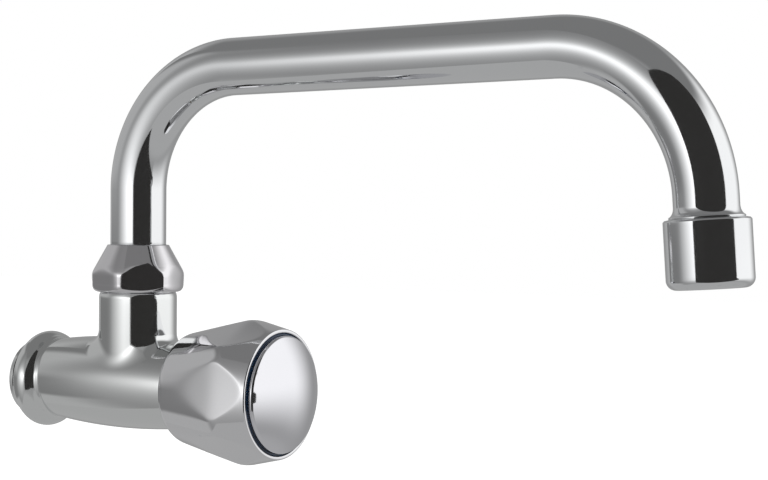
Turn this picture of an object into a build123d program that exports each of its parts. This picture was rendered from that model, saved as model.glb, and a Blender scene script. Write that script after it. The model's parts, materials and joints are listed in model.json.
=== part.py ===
from build123d import *
from math import cos, pi, radians, sin, sqrt, tan
import os

# Wall-mounted single kitchen tap with a swivelling upper spout, in millimetres.
# The origin is the centre of the inlet's end face. +Y points out of the inlet towards the
# wall, +Z points up the riser, and at rest the spout reaches out over the knob along -Y.
os.makedirs("parts", exist_ok=True)

# Main layout
riser_y = -45.0
spout_height = 101.5
spout_reach = 192.0
spout_rise_deg = 1.0
leg_lean_deg = 4.0
knob_turn_deg = 6.0
nut_turn_deg = 12.5

# Clearances
running_gap = 0.05
skin_gap = 0.3

# Half-inch pipe thread: crest radius inside a bore, and mean radius of a screwed joint
half_inch_bore_r = 9.32
half_inch_mean_r = 9.9

# Body casting
inlet_r = 12.05
inlet_thread_length = 14.0
inlet_passage_r = 7.5
tail_groove_y = -2.2
tail_groove_width = 0.8
tail_groove_depth = 0.3
bead_y = -7.4
bead_r = 15.85
bead_round = 4.3
bead_root_fillet = 2.0
body_front_y = -62.5
belly_y = -42.0
belly_r = 14.43
belly_curvature = 0.00243
saddle_rise = 1.2
neck_r = 12.6
neck_foot_z = 2.0
neck_edge = 0.5
neck_shoulder_z = 29.9
neck_top_z = 40.0
neck_root_fillet = 4.0
port_r = 8.05
port_bottom_z = 8.0
seat_y = -39.0
seat_bore_r = 5.5
seat_ring_r = 7.2
seat_ring_height = 1.5
seat_wall = 4.5

# Spout and its swivel
tube_r = 9.0
tube_wall = 1.0
riser_bend_r = 39.0
outlet_bend_r = 45.0
flare_r = 10.4
flare_start = 45.6
flare_full = 48.3
flare_end = 48.9
spigot_gap = 0.1
spigot_bottom_z = 16.0
spigot_bore_r = 5.2
spout_groove_r = 6.2
spout_groove_width = 2.2
spout_groove_z = (21.0, 28.0)
slip_washer_height = 0.8
collar_lip = 0.85
collar_height = 1.5
split_ring_height = 1.0
split_ring_slit = 2.0
ferrule_plug_height = 8.0

# Union nut
recess_gap = 0.25
thread_ledge = 0.3
nut_wall = 3.35
nut_corner_height = 1.25
nut_bottom_z = 30.3
nut_top_z = 45.5
nut_top_lip = 0.9
nut_cone_slope = 1.8
nut_foot_step = 0.6
nut_foot_height = 2.2

# Aerator, with its places measured along the leg from the corner of the spout's centreline
aerator_r = 12.0
aerator_top = 49.0
aerator_bottom = 68.0
aerator_round = 2.8
aerator_step = 0.5
mouth_r = 8.9
m22_thread_r = 10.9
nipple_thread_end = 55.5
nipple_bore_r = 6.5
aerator_washer_height = 2.0
insert_flange_height = 1.2
insert_r = 10.1
insert_bore_r = 9.1
insert_end = 66.0
flow_disc_start = 59.2
flow_disc_height = 1.2
flow_hole_r = 0.9
screen_height = 0.3
screen_starts = (61.2, 62.4)
grid_start = 63.8
grid_height = 1.8
grid_rib = 0.7

# Headwork
gasket_height = 1.0
flange_r = 11.9
flange_height = 2.0
bonnet_thread_length = 10.0
nose_r = 8.6
nose_end_y = -48.8
bonnet_hex_flats = 19.0
bonnet_hex_height = 5.5
bonnet_neck_r = 7.0
bonnet_neck_height = 5.0
guide_flats = 12.2
guide_end_y = -67.4
spindle_r = 4.5
spindle_collar_r = 5.75
spindle_collar_height = 2.0
spindle_thread_r = 4.33
spindle_thread_end_y = -51.0
spindle_groove_r = 3.1
spindle_groove_width = 1.8
spindle_groove_y = (-69.7, -73.0)
spindle_shoulder_y = -78.0
spline_r = 3.95
spline_root_r = 3.55
spline_teeth = 20
spindle_front_y = -88.5
screw_bore_length = 11.0
circlip_groove_r = 3.6
circlip_r = 5.6
circlip_height = 0.9
circlip_mouth = 5.0
carrier_flats = 12.0
carrier_back_y = -60.0
carrier_bore_end_y = -45.2
carrier_cup_r = 7.4
carrier_rim = 1.6
carrier_plate = 1.5
valve_washer_r = 6.4
valve_washer_height = 3.2
valve_screw_r = 1.9
valve_screw_head_r = 3.4
valve_screw_head_height = 1.6

# Knob
knob_back_y = -62.9
knob_back_r = 13.9
knob_mouth_r = 12.5
knob_shoulder_y = -68.8
knob_shoulder_r = 17.95
knob_hip_y = -90.3
knob_hip_height = 1.6
knob_hip_fillet = 9.0
knob_lip_y = -98.8
knob_lip_wall = 2.2
knob_front_y = -101.85
facet_count = 6
facet_depth = 1.75
facet_crest_y = -92.5
facet_crown_r = 86.0
facet_tip_y = -73.8
hub_r = 7.5
web_y = -92.0
web_height = 3.0
cavity_r = 17.0
cavity_y = -84.0
knob_screw_r = 2.1
knob_screw_length = 16.0
knob_screw_head_r = 4.5
knob_screw_head_height = 2.8
knob_screw_slot = 5.0
knob_screw_slot_width = 1.0
knob_screw_slot_depth = 1.6
screw_washer_height = 1.0

# Index ring and cap
ring_width = 1.85
ring_seat_y = -99.5
ring_front_y = -102.2
cap_r = 17.3
cap_edge_y = -103.2
cap_edge_round = 0.4
cap_dome_height = 4.2
cap_wall = 1.2

# The collar drops through the nut's thread, so the thread and the nut grow with the tube
collar_r = tube_r + collar_lip
nut_recess_r = collar_r + recess_gap
neck_thread_r = nut_recess_r + thread_ledge
nut_across_flats = 2 * (neck_thread_r + nut_wall)
nut_corner_r = nut_across_flats / 2 + nut_corner_height
nut_foot_r = nut_across_flats / 2 - nut_foot_step
nut_top_r = tube_r + nut_top_lip

# The index ring lies round the cap, and the knob's front is turned to hold the ring
ring_r = cap_r + ring_width
knob_lip_r = ring_r + knob_lip_wall
knob_hip_r = knob_lip_r + knob_hip_height
facet_distance = knob_hip_r - facet_depth

side = Plane(origin=(0, 0, 0), x_dir=(0, 1, 0), z_dir=(1, 0, 0))
riser_side = Plane(origin=(0, riser_y, 0), x_dir=(0, 1, 0), z_dir=(1, 0, 0))
riser_axis = Axis((0, riser_y, 0), (0, 0, 1))


def across(y):
    """Plane square to the body's axis at y, with its normal towards the user."""
    return Plane(origin=(0, y, 0), x_dir=(1, 0, 0), z_dir=(0, -1, 0))


def level(z):
    """Plane square to the riser's axis at height z, with its normal upwards."""
    return Plane(origin=(0, riser_y, z), x_dir=(1, 0, 0), z_dir=(0, 0, 1))


def outline(plane, *corners):
    """Closed flat face through these corners of a plane."""
    with BuildSketch(plane) as face:
        with BuildLine():
            Polyline(*corners, close=True)
        make_face()
    return face.sketch


def annulus(plane, outer_r, inner_r):
    """Flat ring on a plane."""
    with BuildSketch(plane) as face:
        Circle(outer_r)
        Circle(inner_r, mode=Mode.SUBTRACT)
    return face.sketch


def hexagon(plane, across_flats, turn_deg=0.0):
    """Hexagon on a plane, given by the distance across its flats."""
    with BuildSketch(plane) as face:
        RegularPolygon(across_flats / 2, 6, major_radius=False, rotation=turn_deg)
    return face.sketch


def serration(plane, gap=0.0):
    """Star of fine triangular teeth, as on the end of the spindle."""
    points = []
    for step in range(2 * spline_teeth):
        r = (spline_root_r if step % 2 else spline_r) + gap
        angle = pi * step / spline_teeth
        points.append((r * cos(angle), r * sin(angle)))
    return outline(plane, *points)


# The casting: an inlet tail with its bead, the barrel, the neck and the waterway through them
body_bore_r = half_inch_mean_r + running_gap
chamber_end_y = seat_y + seat_ring_height
barrel_back_y = bead_y - 1.6
barrel_length = barrel_back_y - body_front_y
barrel_stations = 6

with BuildPart() as body_casting:
    for station in range(barrel_stations):
        along = station / (barrel_stations - 1)
        station_y = body_front_y + barrel_length * along
        under_r = belly_r - belly_curvature * (station_y - belly_y) ** 2
        rise = saddle_rise * sin(pi / 2 * along)
        with BuildSketch(across(station_y)):
            with Locations((0, rise / 2)):
                Ellipse(under_r + rise / 4, under_r + rise / 2)
    loft()
    revolve(
        outline(
            side,
            (0, 0),
            (0, inlet_r - tail_groove_depth),
            (-tail_groove_depth, inlet_r),
            (tail_groove_y + tail_groove_width / 2 + tail_groove_depth, inlet_r),
            (tail_groove_y + tail_groove_width / 2, inlet_r - tail_groove_depth),
            (tail_groove_y - tail_groove_width / 2, inlet_r - tail_groove_depth),
            (tail_groove_y - tail_groove_width / 2 - tail_groove_depth, inlet_r),
            (bead_y, inlet_r),
            (bead_y, 0),
        ),
        axis=Axis.Y,
    )
    with BuildSketch(side):
        with Locations((bead_y, bead_r - bead_round)):
            Circle(bead_round)
    revolve(axis=Axis.Y)
    revolve(
        outline(
            riser_side,
            (neck_r, neck_foot_z),
            (0, neck_foot_z),
            (0, neck_top_z),
            (neck_thread_r - 0.8, neck_top_z),
            (neck_thread_r, neck_top_z - 0.8),
            (neck_thread_r, neck_shoulder_z),
            (neck_r - neck_edge, neck_shoulder_z),
            (neck_r, neck_shoulder_z - neck_edge),
        ),
        axis=riser_axis,
    )
    seams = body_casting.edges().filter_by(GeomType.BSPLINE)
    fillet(seams.filter_by_position(Axis.Y, riser_y - 1, riser_y + 1), neck_root_fillet)
    fillet(seams.filter_by_position(Axis.Y, bead_y - bead_round, bead_y - 3), bead_root_fillet)
    with BuildSketch(across(0)):
        Circle(half_inch_bore_r)
    extrude(amount=inlet_thread_length, mode=Mode.SUBTRACT)
    with BuildSketch(across(-inlet_thread_length)):
        Circle(inlet_passage_r)
    extrude(amount=-inlet_thread_length - chamber_end_y - seat_wall, mode=Mode.SUBTRACT)
    with BuildSketch(across(chamber_end_y)):
        Circle(body_bore_r)
        Circle(seat_ring_r, mode=Mode.SUBTRACT)
    extrude(amount=seat_ring_height, mode=Mode.SUBTRACT)
    with BuildSketch(across(seat_y)):
        Circle(body_bore_r)
    extrude(amount=seat_y - body_front_y, mode=Mode.SUBTRACT)
    with BuildSketch(across(chamber_end_y + seat_wall)):
        Circle(seat_bore_r)
    extrude(amount=seat_wall + seat_ring_height, mode=Mode.SUBTRACT)
    with BuildSketch(level(port_bottom_z)):
        Circle(port_r)
    extrude(amount=neck_top_z - port_bottom_z, mode=Mode.SUBTRACT)

body_casting.part.label = "body_casting"
export_step(body_casting.part, "parts/body_casting.step")

# Swivel joint: the ferrule brazed into the spout turns in the neck on two rings, between a
# slip washer below its collar and a split ring above it, and the union nut holds it down
washer_top_z = neck_top_z + slip_washer_height
collar_bottom_z = washer_top_z + running_gap
collar_top_z = collar_bottom_z + collar_height
split_ring_bottom_z = collar_top_z + running_gap
nut_shoulder_z = split_ring_bottom_z + split_ring_height
spigot_r = port_r - spigot_gap
tube_bore_r = tube_r - tube_wall
ferrule_top_z = collar_top_z + ferrule_plug_height

with BuildPart() as slip_washer:
    extrude(annulus(level(neck_top_z), nut_recess_r - 0.1, port_r), amount=slip_washer_height)

slip_washer.part.label = "slip_washer"
export_step(slip_washer.part, "parts/slip_washer.step")

with BuildPart() as spout_ferrule:
    revolve(
        outline(
            riser_side,
            (spigot_bore_r, spigot_bottom_z),
            (spigot_r - 0.8, spigot_bottom_z),
            (spigot_r, spigot_bottom_z + 1.2),
            (spigot_r, collar_bottom_z),
            (collar_r, collar_bottom_z),
            (collar_r, collar_top_z),
            (tube_bore_r - running_gap, collar_top_z),
            (tube_bore_r - running_gap, ferrule_top_z - 0.6),
            (tube_bore_r - 0.6, ferrule_top_z),
            (spigot_bore_r, ferrule_top_z),
        ),
        axis=riser_axis,
    )
    for groove_z in spout_groove_z:
        floor = level(groove_z - spout_groove_width / 2)
        extrude(annulus(floor, spigot_r + 1, spout_groove_r), amount=spout_groove_width, mode=Mode.SUBTRACT)

spout_ferrule.part.label = "spout_ferrule"
export_step(spout_ferrule.part, "parts/spout_ferrule.step")

spout_ring_round = (port_r - spout_groove_r) / 2 - 0.02

with BuildPart() as spout_o_rings:
    for groove_z in spout_groove_z:
        with BuildSketch(riser_side):
            with Locations(((port_r + spout_groove_r) / 2, groove_z)):
                Circle(spout_ring_round)
        revolve(axis=riser_axis)

spout_o_rings.part.label = "spout_o_rings"
export_step(spout_o_rings.part, "parts/spout_o_rings.step")

with BuildPart() as split_ring:
    extrude(
        annulus(level(split_ring_bottom_z), nut_recess_r, tube_r + skin_gap),
        amount=split_ring_height,
    )
    with BuildSketch(level(split_ring_bottom_z)):
        with Locations((neck_thread_r, 0)):
            Rectangle(neck_thread_r, split_ring_slit)
    extrude(amount=split_ring_height, mode=Mode.SUBTRACT)

split_ring.part.label = "split_ring"
export_step(split_ring.part, "parts/split_ring.step")

nut_cone_z = nut_top_z - nut_cone_slope * (nut_corner_r - nut_top_r)
nut_thread_r = neck_thread_r + running_gap

with BuildPart() as union_nut:
    with BuildSketch(riser_side):
        with BuildLine():
            Line((0, nut_bottom_z), (nut_foot_r, nut_bottom_z))
            ThreePointArc(
                (nut_foot_r, nut_bottom_z),
                (nut_corner_r - 0.35, nut_bottom_z + 1.0),
                (nut_corner_r, nut_bottom_z + nut_foot_height),
            )
            Polyline(
                (nut_corner_r, nut_bottom_z + nut_foot_height),
                (nut_corner_r, nut_cone_z),
                (nut_top_r, nut_top_z),
                (0, nut_top_z),
                (0, nut_bottom_z),
            )
        make_face()
    revolve(axis=riser_axis)
    extrude(
        hexagon(level(nut_bottom_z), nut_across_flats, nut_turn_deg),
        amount=nut_top_z - nut_bottom_z,
        mode=Mode.INTERSECT,
    )
    with BuildSketch(level(nut_bottom_z)):
        Circle(nut_thread_r)
    extrude(amount=neck_top_z - nut_bottom_z, mode=Mode.SUBTRACT)
    with BuildSketch(level(neck_top_z)):
        Circle(nut_recess_r)
    extrude(amount=nut_shoulder_z - neck_top_z, mode=Mode.SUBTRACT)
    with BuildSketch(level(nut_shoulder_z)):
        Circle(tube_r + skin_gap)
    extrude(amount=nut_top_z - nut_shoulder_z, mode=Mode.SUBTRACT)

union_nut.part.label = "union_nut"
export_step(union_nut.part, "parts/union_nut.step")

# Spout: one bent tube, up the riser, out along the reach and down the leg
rise = radians(spout_rise_deg)
lean = radians(leg_lean_deg)
reach_dir = (-cos(rise), sin(rise))
leg_dir = (-sin(lean), -cos(lean))
riser_cut = riser_bend_r * tan((pi / 2 - rise) / 2)
outlet_cut = outlet_bend_r * tan((pi / 2 + rise - lean) / 2)
riser_corner = (riser_y, spout_height)
leg_corner = (
    riser_corner[0] + spout_reach * reach_dir[0],
    riser_corner[1] + spout_reach * reach_dir[1],
)


def along_line(start, direction, distance):
    """Point this far along a direction in the side view."""
    return (start[0] + distance * direction[0], start[1] + distance * direction[1])


leg_side = Plane(
    origin=(0, leg_corner[0], leg_corner[1]),
    x_dir=(0, leg_dir[1], -leg_dir[0]),
    z_dir=(1, 0, 0),
)
leg_axis = Axis((0, leg_corner[0], leg_corner[1]), (0, leg_dir[0], leg_dir[1]))


def leg_level(distance):
    """Plane square to the leg at this distance from the centreline's corner, facing down it."""
    y, z = along_line(leg_corner, leg_dir, distance)
    return Plane(origin=(0, y, z), x_dir=(1, 0, 0), z_dir=(0, leg_dir[0], leg_dir[1]))


with BuildPart() as spout_tube:
    with BuildLine(side):
        Line((riser_y, collar_top_z), (riser_y, spout_height - riser_cut))
        TangentArc(
            (riser_y, spout_height - riser_cut),
            along_line(riser_corner, reach_dir, riser_cut),
            tangent=(0, 1),
        )
        Line(
            along_line(riser_corner, reach_dir, riser_cut),
            along_line(leg_corner, reach_dir, -outlet_cut),
        )
        TangentArc(
            along_line(leg_corner, reach_dir, -outlet_cut),
            along_line(leg_corner, leg_dir, outlet_cut),
            tangent=reach_dir,
        )
        Line(
            along_line(leg_corner, leg_dir, outlet_cut),
            along_line(leg_corner, leg_dir, flare_end),
        )
    with BuildSketch(level(collar_top_z)):
        Circle(tube_r)
        Circle(tube_bore_r, mode=Mode.SUBTRACT)
    sweep()
    with BuildSketch(leg_side):
        with BuildLine():
            Line((tube_bore_r, flare_start), (tube_r, flare_start))
            ThreePointArc(
                (tube_r, flare_start),
                (tube_r + 0.4, flare_start + 1.6),
                (flare_r, flare_full),
            )
            Polyline(
                (flare_r, flare_full),
                (flare_r, flare_end),
                (tube_bore_r, flare_end),
                (tube_bore_r, flare_start),
            )
        make_face()
    revolve(axis=leg_axis)

spout_tube.part.label = "spout_tube"
export_step(spout_tube.part, "parts/spout_tube.step")

# Outlet: a threaded nipple brazed into the tube carries the aerator
with BuildPart() as spout_nipple:
    plug_start = outlet_cut + 1
    extrude(
        annulus(leg_level(plug_start), tube_bore_r - running_gap, nipple_bore_r),
        amount=flare_end - plug_start,
    )
    extrude(
        annulus(leg_level(flare_end), m22_thread_r, nipple_bore_r),
        amount=nipple_thread_end - flare_end,
    )

spout_nipple.part.label = "spout_nipple"
export_step(spout_nipple.part, "parts/spout_nipple.step")

housing_bore_r = m22_thread_r + running_gap
flange_start = nipple_thread_end + aerator_washer_height
flange_end = flange_start + insert_flange_height

with BuildPart() as aerator_housing:
    with BuildSketch(leg_side):
        with BuildLine():
            Polyline(
                (aerator_r, aerator_bottom - aerator_round),
                (aerator_r, aerator_top + aerator_step),
                (aerator_r - aerator_step, aerator_top),
                (housing_bore_r, aerator_top),
                (housing_bore_r, flange_end),
                (insert_r + running_gap, flange_end),
                (insert_r + running_gap, insert_end),
                (mouth_r, insert_end),
                (mouth_r, aerator_bottom),
                (aerator_r - aerator_round, aerator_bottom),
            )
            CenterArc(
                (aerator_r - aerator_round, aerator_bottom - aerator_round),
                aerator_round,
                start_angle=0,
                arc_size=90,
            )
        make_face()
    revolve(axis=leg_axis)

aerator_housing.part.label = "aerator_housing"
export_step(aerator_housing.part, "parts/aerator_housing.step")

with BuildPart() as aerator_washer:
    extrude(
        annulus(leg_level(nipple_thread_end), m22_thread_r - 0.1, nipple_bore_r),
        amount=aerator_washer_height,
    )

aerator_washer.part.label = "aerator_washer"
export_step(aerator_washer.part, "parts/aerator_washer.step")

with BuildPart() as aerator_insert:
    extrude(
        annulus(leg_level(flange_start), m22_thread_r - 0.1, insert_bore_r),
        amount=insert_flange_height,
    )
    extrude(annulus(leg_level(flange_end), insert_r, insert_bore_r), amount=insert_end - flange_end)

aerator_insert.part.label = "aerator_insert"
export_step(aerator_insert.part, "parts/aerator_insert.step")

with BuildPart() as aerator_flow_disc:
    with BuildSketch(leg_level(flow_disc_start)):
        Circle(insert_bore_r - running_gap)
        with PolarLocations(3.2, 6):
            Circle(flow_hole_r, mode=Mode.SUBTRACT)
        with PolarLocations(6.4, 12):
            Circle(flow_hole_r, mode=Mode.SUBTRACT)
    extrude(amount=flow_disc_height)

aerator_flow_disc.part.label = "aerator_flow_disc"
export_step(aerator_flow_disc.part, "parts/aerator_flow_disc.step")

with BuildPart() as aerator_screens:
    for screen_start in screen_starts:
        with BuildSketch(leg_level(screen_start)):
            Circle(insert_bore_r - running_gap)
        extrude(amount=screen_height)

aerator_screens.part.label = "aerator_screens"
export_step(aerator_screens.part, "parts/aerator_screens.step")

# The grid seen in the mouth: concentric rings of cells cut between radial ribs
with BuildPart() as aerator_grid:
    with BuildSketch(leg_level(grid_start)):
        Circle(insert_bore_r - running_gap)
        for ring_inner_r, ring_outer_r, ribs in ((1.2, 3.4, 6), (4.1, 5.9, 12), (6.6, 8.3, 18)):
            with BuildSketch(mode=Mode.SUBTRACT):
                Circle(ring_outer_r)
                Circle(ring_inner_r, mode=Mode.SUBTRACT)
                with PolarLocations((ring_inner_r + ring_outer_r) / 2, ribs):
                    Rectangle(2 * (ring_outer_r - ring_inner_r), grid_rib, mode=Mode.SUBTRACT)
    extrude(amount=grid_height)

aerator_grid.part.label = "aerator_grid"
export_step(aerator_grid.part, "parts/aerator_grid.step")

# Headwork with a spindle that turns but doesn't rise, and a carrier that it screws up and down
flange_back_y = body_front_y - gasket_height
flange_front_y = flange_back_y - flange_height
hex_front_y = flange_front_y - bonnet_hex_height
bonnet_front_y = hex_front_y - bonnet_neck_height
collar_front_y = guide_end_y + running_gap
collar_back_y = collar_front_y + spindle_collar_height

with BuildPart() as bonnet_gasket:
    extrude(annulus(across(body_front_y), flange_r, half_inch_mean_r + 0.1), amount=gasket_height)

bonnet_gasket.part.label = "bonnet_gasket"
export_step(bonnet_gasket.part, "parts/bonnet_gasket.step")

with BuildPart() as headwork_bonnet:
    revolve(
        outline(
            side,
            (nose_end_y, 0),
            (nose_end_y, nose_r),
            (flange_back_y + bonnet_thread_length, nose_r),
            (flange_back_y + bonnet_thread_length - 0.8, half_inch_mean_r),
            (flange_back_y, half_inch_mean_r),
            (flange_back_y, flange_r),
            (flange_front_y, flange_r),
            (flange_front_y, bonnet_neck_r),
            (bonnet_front_y + 0.6, bonnet_neck_r),
            (bonnet_front_y, bonnet_neck_r - 0.6),
            (bonnet_front_y, 0),
        ),
        axis=Axis.Y,
    )
    extrude(hexagon(across(flange_front_y), bonnet_hex_flats), amount=bonnet_hex_height)
    extrude(
        hexagon(across(nose_end_y), guide_flats),
        amount=nose_end_y - guide_end_y,
        mode=Mode.SUBTRACT,
    )
    with BuildSketch(across(guide_end_y)):
        Circle(spindle_r + running_gap)
    extrude(amount=guide_end_y - bonnet_front_y, mode=Mode.SUBTRACT)

headwork_bonnet.part.label = "headwork_bonnet"
export_step(headwork_bonnet.part, "parts/headwork_bonnet.step")

circlip_back_y = bonnet_front_y - running_gap
circlip_front_y = circlip_back_y - circlip_height

with BuildPart() as spindle:
    revolve(
        outline(
            side,
            (spindle_thread_end_y, 0),
            (spindle_thread_end_y, spindle_thread_r - 0.7),
            (spindle_thread_end_y - 0.7, spindle_thread_r),
            (collar_back_y, spindle_thread_r),
            (collar_back_y, spindle_collar_r),
            (collar_front_y, spindle_collar_r),
            (collar_front_y, spindle_r),
            (circlip_back_y, spindle_r),
            (circlip_back_y, circlip_groove_r),
            (circlip_front_y, circlip_groove_r),
            (circlip_front_y, spindle_r),
            (spindle_shoulder_y, spindle_r),
            (spindle_shoulder_y, 0),
        ),
        axis=Axis.Y,
    )
    for groove_y in spindle_groove_y:
        floor = across(groove_y + spindle_groove_width / 2)
        extrude(
            annulus(floor, spindle_r + 1, spindle_groove_r),
            amount=spindle_groove_width,
            mode=Mode.SUBTRACT,
        )
    extrude(serration(across(spindle_shoulder_y)), amount=spindle_shoulder_y - spindle_front_y)
    with BuildSketch(across(spindle_front_y)):
        Circle(knob_screw_r + running_gap)
    extrude(amount=-screw_bore_length, mode=Mode.SUBTRACT)

spindle.part.label = "spindle"
export_step(spindle.part, "parts/spindle.step")

spindle_bore_r = spindle_r + running_gap
spindle_ring_round = (spindle_bore_r - spindle_groove_r) / 2 - 0.02

with BuildPart() as spindle_o_rings:
    for groove_y in spindle_groove_y:
        with BuildSketch(side):
            with Locations((groove_y, (spindle_bore_r + spindle_groove_r) / 2)):
                Circle(spindle_ring_round)
        revolve(axis=Axis.Y)

spindle_o_rings.part.label = "spindle_o_rings"
export_step(spindle_o_rings.part, "parts/spindle_o_rings.step")

with BuildPart() as spindle_circlip:
    with BuildSketch(across(circlip_back_y)):
        Circle(circlip_r)
        Circle(circlip_groove_r + running_gap, mode=Mode.SUBTRACT)
        with Locations((0, -circlip_r)):
            Rectangle(circlip_mouth, 2 * (circlip_r - circlip_groove_r) + 1, mode=Mode.SUBTRACT)
    extrude(amount=circlip_height)

spindle_circlip.part.label = "spindle_circlip"
export_step(spindle_circlip.part, "parts/spindle_circlip.step")

cup_floor_y = seat_y - valve_washer_height
cup_rim_y = cup_floor_y + carrier_rim
cup_back_y = cup_floor_y - carrier_plate

with BuildPart() as valve_carrier:
    extrude(hexagon(across(cup_back_y), carrier_flats), amount=cup_back_y - carrier_back_y)
    with BuildSketch(across(cup_floor_y)):
        Circle(carrier_cup_r)
    extrude(amount=carrier_plate)
    extrude(annulus(across(cup_rim_y), carrier_cup_r, valve_washer_r + running_gap), amount=carrier_rim)
    with BuildSketch(across(carrier_bore_end_y)):
        Circle(spindle_thread_r + running_gap)
    extrude(amount=carrier_bore_end_y - carrier_back_y, mode=Mode.SUBTRACT)
    with BuildSketch(across(cup_floor_y)):
        Circle(valve_screw_r + running_gap)
    extrude(amount=cup_floor_y - carrier_bore_end_y, mode=Mode.SUBTRACT)

valve_carrier.part.label = "valve_carrier"
export_step(valve_carrier.part, "parts/valve_carrier.step")

with BuildPart() as valve_washer:
    extrude(
        annulus(across(seat_y), valve_washer_r, valve_screw_r + running_gap),
        amount=valve_washer_height,
    )

valve_washer.part.label = "valve_washer"
export_step(valve_washer.part, "parts/valve_washer.step")

with BuildPart() as valve_screw:
    with BuildSketch(across(seat_y + valve_screw_head_height)):
        Circle(valve_screw_head_r)
    extrude(amount=valve_screw_head_height)
    with BuildSketch(across(seat_y)):
        Circle(valve_screw_r)
    extrude(amount=seat_y - carrier_bore_end_y)

valve_screw.part.label = "valve_screw"
export_step(valve_screw.part, "parts/valve_screw.step")

# Knob: a turned double cone with six crowned facets, hollow behind, with a splined hub
web_front_y = web_y - web_height
recess_r = cap_r + 0.1
ring_bore_r = ring_r + running_gap

with BuildPart() as knob:
    with BuildSketch(side):
        with BuildLine():
            ThreePointArc(
                (knob_back_y, knob_back_r),
                (knob_back_y - 2.4, knob_back_r + 2.55),
                (knob_shoulder_y, knob_shoulder_r),
            )
            FilletPolyline(
                (knob_shoulder_y, knob_shoulder_r),
                (knob_hip_y, knob_hip_r),
                (knob_lip_y, knob_lip_r),
                radius=knob_hip_fillet,
            )
            ThreePointArc(
                (knob_lip_y, knob_lip_r),
                (knob_front_y + 0.9, knob_lip_r - 0.75),
                (knob_front_y, ring_bore_r + 0.5),
            )
            Polyline(
                (knob_front_y, ring_bore_r + 0.5),
                (knob_front_y + 0.1, ring_bore_r),
                (ring_seat_y, ring_bore_r),
                (ring_seat_y, recess_r),
                (web_front_y, recess_r),
                (web_front_y, 0),
                (web_y, 0),
                (web_y, cavity_r),
                (cavity_y, cavity_r),
                (knob_shoulder_y, knob_mouth_r),
                (knob_back_y, knob_mouth_r),
                (knob_back_y, knob_back_r),
            )
        make_face()
    revolve(axis=Axis.Y)
    for facet in range(facet_count):
        angle = radians(knob_turn_deg + 360 / facet_count * facet)
        facet_side = Plane(origin=(0, 0, 0), x_dir=(0, 1, 0), z_dir=(sin(angle), 0, cos(angle)))
        with BuildSketch(facet_side):
            with Locations(((facet_tip_y + knob_front_y) / 2, facet_distance)):
                Rectangle(facet_tip_y - knob_front_y, knob_hip_r)
            with Locations((facet_crest_y, facet_distance - facet_crown_r)):
                Circle(facet_crown_r, mode=Mode.SUBTRACT)
        extrude(amount=knob_hip_r, both=True, mode=Mode.SUBTRACT)
    with BuildSketch(across(spindle_shoulder_y)):
        Circle(hub_r)
    extrude(amount=spindle_shoulder_y - web_y)
    extrude(
        serration(across(spindle_shoulder_y), running_gap),
        amount=spindle_shoulder_y - spindle_front_y + 0.5,
        mode=Mode.SUBTRACT,
    )
    with BuildSketch(across(spindle_shoulder_y)):
        Circle(knob_screw_r + 0.5)
    extrude(amount=spindle_shoulder_y - web_front_y, mode=Mode.SUBTRACT)

knob.part.label = "knob"
export_step(knob.part, "parts/knob.step")

with BuildPart() as screw_washer:
    extrude(
        annulus(across(web_front_y), knob_screw_head_r, knob_screw_r + running_gap),
        amount=screw_washer_height,
    )

screw_washer.part.label = "screw_washer"
export_step(screw_washer.part, "parts/screw_washer.step")

screw_head_y = web_front_y - screw_washer_height

with BuildPart() as knob_screw:
    with BuildSketch(across(screw_head_y)):
        Circle(knob_screw_head_r)
    extrude(amount=knob_screw_head_height)
    with BuildSketch(across(screw_head_y)):
        Circle(knob_screw_r)
    extrude(amount=-knob_screw_length)
    with BuildSketch(across(screw_head_y - knob_screw_head_height)):
        Rectangle(knob_screw_slot_width, knob_screw_slot)
        Rectangle(knob_screw_slot, knob_screw_slot_width)
    extrude(amount=-knob_screw_slot_depth, mode=Mode.SUBTRACT)

knob_screw.part.label = "knob_screw"
export_step(knob_screw.part, "parts/knob_screw.step")

with BuildPart() as index_ring:
    extrude(annulus(across(ring_seat_y), ring_r, cap_r + running_gap), amount=ring_seat_y - ring_front_y)
    chamfer(index_ring.edges().group_by(Axis.Y)[0].sort_by(SortBy.RADIUS)[-1:], 0.4)

index_ring.part.label = "index_ring"
export_step(index_ring.part, "parts/index_ring.step")

# Cap: a shallow dome with a skirt that grips the knob's recess
dome_r = (cap_r ** 2 + cap_dome_height ** 2) / (2 * cap_dome_height)
dome_centre_y = cap_edge_y - cap_dome_height + dome_r
inner_dome_r = dome_r - cap_wall
skirt_bore_r = cap_r - cap_wall


def dome_point(sphere_r, r):
    """Point of a dome's side view at this distance from its axis."""
    return (dome_centre_y - sqrt(sphere_r ** 2 - r ** 2), r)


with BuildPart() as cap_disc:
    with BuildSketch(side):
        with BuildLine():
            ThreePointArc(
                dome_point(dome_r, 0),
                dome_point(dome_r, cap_r / 2),
                dome_point(dome_r, cap_r),
            )
            Polyline(
                dome_point(dome_r, cap_r),
                (web_front_y, cap_r),
                (web_front_y, skirt_bore_r),
                dome_point(inner_dome_r, skirt_bore_r),
            )
            ThreePointArc(
                dome_point(inner_dome_r, skirt_bore_r),
                dome_point(inner_dome_r, skirt_bore_r / 2),
                dome_point(inner_dome_r, 0),
            )
            Line(dome_point(inner_dome_r, 0), dome_point(dome_r, 0))
        make_face()
    revolve(axis=Axis.Y)
    rim = cap_disc.edges().filter_by(GeomType.CIRCLE)
    fillet(rim.filter_by_position(Axis.Y, cap_edge_y - 0.1, cap_edge_y + 0.1), cap_edge_round)

cap_disc.part.label = "cap_disc"
export_step(cap_disc.part, "parts/cap_disc.step")
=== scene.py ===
import json

import bpy
import numpy as np
from mathutils import Matrix


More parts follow.
